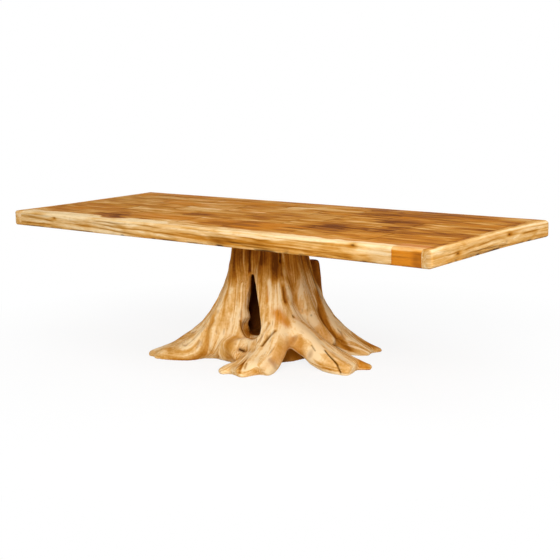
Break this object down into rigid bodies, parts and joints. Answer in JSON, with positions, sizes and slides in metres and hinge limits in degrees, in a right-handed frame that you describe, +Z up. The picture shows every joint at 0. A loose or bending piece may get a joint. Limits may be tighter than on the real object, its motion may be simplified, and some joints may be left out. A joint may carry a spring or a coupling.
{
  "type": "dining table",
  "caption": "Rustic dining table: a long planked wooden top framed by live-edge rails, carried on a flared tree-stump base whose roots spread over the floor.",
  "frame": {"origin": "on the floor, under the middle of the top", "axes": "+X along the length, towards the end beside the darker corner block; +Y from the front edge to the back edge; +Z up"},
  "size_m": [2.7972, 1.07, 0.75],
  "materials": {
    "root_wood": "satin varnish over a hand-sanded root stump",
    "rim_wood": "satin varnish over pale sapwood and golden heartwood",
    "block_wood": "satin varnish over orange heartwood",
    "board_wood": "satin varnish over golden to dark brown planks",
    "frame_wood": "unvarnished sawn timber",
    "screw_steel": "zinc plated"
  },
  "bodies": {
    "root": {"back_rail": "rim_wood", "batten_1": "frame_wood", "batten_2": "frame_wood", "batten_3": "frame_wood", "batten_4": "frame_wood", "batten_screw_1": "screw_steel", "batten_screw_2": "screw_steel", "batten_screw_3": "screw_steel", "batten_screw_4": "screw_steel", "batten_screw_5": "screw_steel", "batten_screw_6": "screw_steel", "batten_screw_7": "screw_steel", "batten_screw_8": "screw_steel", "bearer_back": "frame_wood", "bearer_front": "frame_wood", "bearer_screw_1": "screw_steel", "bearer_screw_2": "screw_steel", "bearer_screw_3": "screw_steel", "bearer_screw_4": "screw_steel", "board_1_1": "board_wood", "board_1_2": "board_wood", "board_1_3": "board_wood", "board_1_4": "board_wood", "board_1_5": "board_wood", "board_1_6": "board_wood", "board_2_1": "board_wood", "board_2_2": "board_wood", "board_2_3": "board_wood", "board_2_4": "board_wood", "board_2_5": "board_wood", "board_3_1": "board_wood", "board_3_2": "board_wood", "board_3_3": "board_wood", "board_3_4": "board_wood", "board_3_5": "board_wood", "board_4_1": "board_wood", "board_4_2": "board_wood", "board_4_3": "board_wood", "board_4_4": "board_wood", "board_4_5": "board_wood", "board_5_1": "board_wood", "board_5_2": "board_wood", "board_5_3": "board_wood", "board_5_4": "board_wood", "front_corner_block": "block_wood", "front_rail": "rim_wood", "lag_screw_1": "screw_steel", "lag_screw_2": "screw_steel", "lag_screw_3": "screw_steel", "lag_screw_4": "screw_steel", "left_end_rail": "rim_wood", "right_end_rail": "rim_wood", "stump": "root_wood", "tenon_back_left": "frame_wood", "tenon_back_right": "frame_wood", "tenon_front_left": "frame_wood", "tenon_front_right": "frame_wood"}
  },
  "joints": []
}
